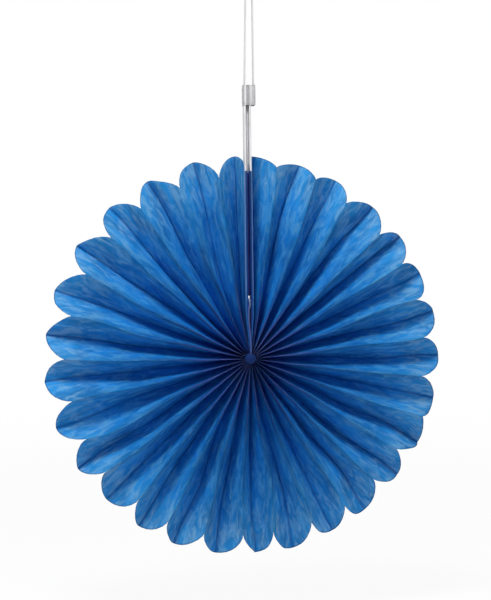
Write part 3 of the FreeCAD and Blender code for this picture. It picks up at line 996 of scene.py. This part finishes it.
def tube_surface(line, radius, count=14):
    """A circle carried along a line that lies in one upright plane or near it."""
    direction = np.gradient(line, axis=0)
    direction /= np.linalg.norm(direction, axis=-1, keepdims=True)
    first = np.cross(direction, [1.0, 0.0, 0.0])
    first /= np.linalg.norm(first, axis=-1, keepdims=True)
    second = np.cross(direction, first)
    turns = np.linspace(0.0, 2.0 * math.pi, count, endpoint=False)
    points = (line[:, None] + radius * (first[:, None] * np.cos(turns)[None, :, None]
                                        + second[:, None] * np.sin(turns)[None, :, None]))
    travel = np.concatenate([[0.0], np.cumsum(np.linalg.norm(np.diff(line, axis=0), axis=-1))])
    uv = np.stack(np.broadcast_arrays(turns[None, :] / (2.0 * math.pi), travel[:, None]), axis=-1)
    return points, uv


def knot_surface(centre, radius, stretch, core, rows=32, count=32):
    """A ball wound with thread, drawn out along one axis: its radius dips between slanting turns
    of the strand. Its back half is core times as long, and blunt where core is over 1."""
    up = np.linspace(0.06, math.pi - 0.06, rows)[:, None]
    round_it = np.linspace(0.0, 2.0 * math.pi, count, endpoint=False)[None, :]
    back = np.cos(up) > 0.0
    long_core = back & (core > 1.0)
    dip = np.where(long_core, 0.0, 0.04 * np.clip(1.2 - np.sin(up), 0.2, 1.0))
    size = radius * (1.0 - dip + dip * np.sin(up * 7.0 + 2.0 * round_it))
    wide = size * np.where(long_core, np.sin(up) ** 0.08, np.sin(up))
    deep = size * np.cos(up) * np.where(back, core, 1.0)
    points = np.stack([wide * np.cos(round_it), deep, wide * np.sin(round_it)], axis=-1)
    uv = np.stack(np.broadcast_arrays(round_it / (2.0 * math.pi), up * radius), axis=-1)
    return points * np.array(stretch) + np.array(centre), uv


def pale_material(name, values, glow):
    """A plain pale surface that the camera sees a little lighter, and that keeps shadows."""
    made, tree, shader = new_material(name)
    fill_in(tree, shader, Base_Color=rgba(values), Roughness=0.9)
    light = node(tree, "ShaderNodeEmission", None, Color=WHITE, Strength=1.0)
    place = node(tree, "ShaderNodeTexCoord").outputs["Object"]
    away = node(tree, "ShaderNodeVectorMath", {"operation": "LENGTH"}, n0=place)
    away = remap(tree, away.outputs["Value"], 0.8, 2.6, glow, 1.0)
    mix = node(tree, "ShaderNodeMixShader", None,
               n0=maths(tree, "MULTIPLY", seen_directly(tree), away),
               n1=shader.outputs[0], n2=light.outputs[0])
    output = [one for one in tree.nodes if one.bl_idname == "ShaderNodeOutputMaterial"][0]
    tree.links.new(mix.outputs[0], output.inputs["Surface"])
    return made


def area_lamp(name, place, target, size, power):
    """A soft square lamp that faces a point."""
    lamp = bpy.data.lights.new(name, "AREA")
    lamp.shape = "SQUARE"
    lamp.size = size
    lamp.energy = power
    made = bpy.data.objects.new(name, lamp)
    made.location = place
    made.rotation_euler = (Vector(target) - Vector(place)).to_track_quat("-Z", "Y").to_euler()
    bpy.context.scene.collection.objects.link(made)


class FAN_OT_stage(bpy.types.Operator):
    """Make the floor, the soft light and the camera"""
    bl_idname = "paper_fan.stage"
    bl_label = "Stage"

    def execute(self, context):
        stage = context.scene.stage_settings
        self.floor(stage)
        self.light(context, stage)
        self.camera(context, stage)
        return {"FINISHED"}

    def floor(self, stage):
        """A wide flat square under the fan."""
        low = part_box("paper_fan")[0][2] - stage.floor_gap
        reach = np.linspace(-FLOOR_REACH, FLOOR_REACH, 3)
        x, y = np.meshgrid(reach, reach)
        points = np.stack([x, y, np.full_like(x, low)], axis=-1)
        made = grid_object("floor", points)
        made.data.materials.append(pale_material("pale_floor", linear(238, 238, 240), 0.93))

    def light(self, context, stage):
        """An even pale surround, white to the camera, and a soft key from the upper left."""
        world = bpy.data.worlds.new("surround")
        world.use_nodes = True
        tree = world.node_tree
        tree.nodes.clear()
        output = node(tree, "ShaderNodeOutputWorld")
        even = node(tree, "ShaderNodeBackground", None, Color=WHITE,
                    Strength=remap(tree, seen_directly(tree), 0.0, 1.0, stage.fill, 1.0))
        tree.links.new(even.outputs[0], output.inputs["Surface"])
        context.scene.world = world
        area_lamp("key_lamp", KEY_PLACE, KEY_AIM, KEY_SIZE, stage.key)

    def camera(self, context, stage):
        """A long lens at the photograph's angle, filling the picture with the fan."""
        back = Vector((math.sin(stage.azimuth) * math.cos(stage.elevation),
                       -math.cos(stage.azimuth) * math.cos(stage.elevation),
                       math.sin(stage.elevation)))
        lens = bpy.data.cameras.new("camera")
        lens.sensor_width = SENSOR
        lens.sensor_fit = "VERTICAL"
        lens.sensor_height = SENSOR
        lens.lens = SENSOR * stage.distance / stage.frame_height
        lens.clip_start = 0.05
        made = bpy.data.objects.new("camera", lens)
        made.location = Vector((stage.aim_x, 0.0, stage.aim_z)) + back * stage.distance
        made.rotation_euler = back.to_track_quat("Z", "Y").to_euler()
        context.scene.collection.objects.link(made)
        context.scene.camera = made
        context.scene.view_settings.view_transform = "Standard"


class FAN_PT_panel(bpy.types.Panel):
    """Lists the pieces' sizes, colours and makers"""
    bl_idname = "FAN_PT_panel"
    bl_label = "Paper Fan"
    bl_space_type = "VIEW_3D"
    bl_region_type = "UI"
    bl_category = "Paper Fan"

    def draw(self, context):
        scene = context.scene
        for group in (scene.fan_settings, scene.hanger_settings, scene.stage_settings):
            box = self.layout.box()
            for key in group.__annotations__:
                box.prop(group, key)
        for operator in OPERATORS:
            self.layout.operator(operator.bl_idname)


OPERATORS = (FAN_OT_paper, FAN_OT_strips, FAN_OT_collar, FAN_OT_loop, FAN_OT_thread, FAN_OT_stage)
GROUPS = (FanSettings, HangerSettings, StageSettings)


def register():
    for one in GROUPS + OPERATORS + (FAN_PT_panel,):
        bpy.utils.register_class(one)
    bpy.types.Scene.fan_settings = bpy.props.PointerProperty(type=FanSettings)
    bpy.types.Scene.hanger_settings = bpy.props.PointerProperty(type=HangerSettings)
    bpy.types.Scene.stage_settings = bpy.props.PointerProperty(type=StageSettings)


def unregister():
    del bpy.types.Scene.stage_settings
    del bpy.types.Scene.hanger_settings
    del bpy.types.Scene.fan_settings
    for one in reversed(GROUPS + OPERATORS + (FAN_PT_panel,)):
        bpy.utils.unregister_class(one)


def main():
    register()
    bpy.ops.paper_fan.paper()
    bpy.ops.paper_fan.strips()
    bpy.ops.paper_fan.collar()
    bpy.ops.paper_fan.loop()
    bpy.ops.paper_fan.thread()
    bpy.ops.paper_fan.stage()


if __name__ == "__main__":
    main()
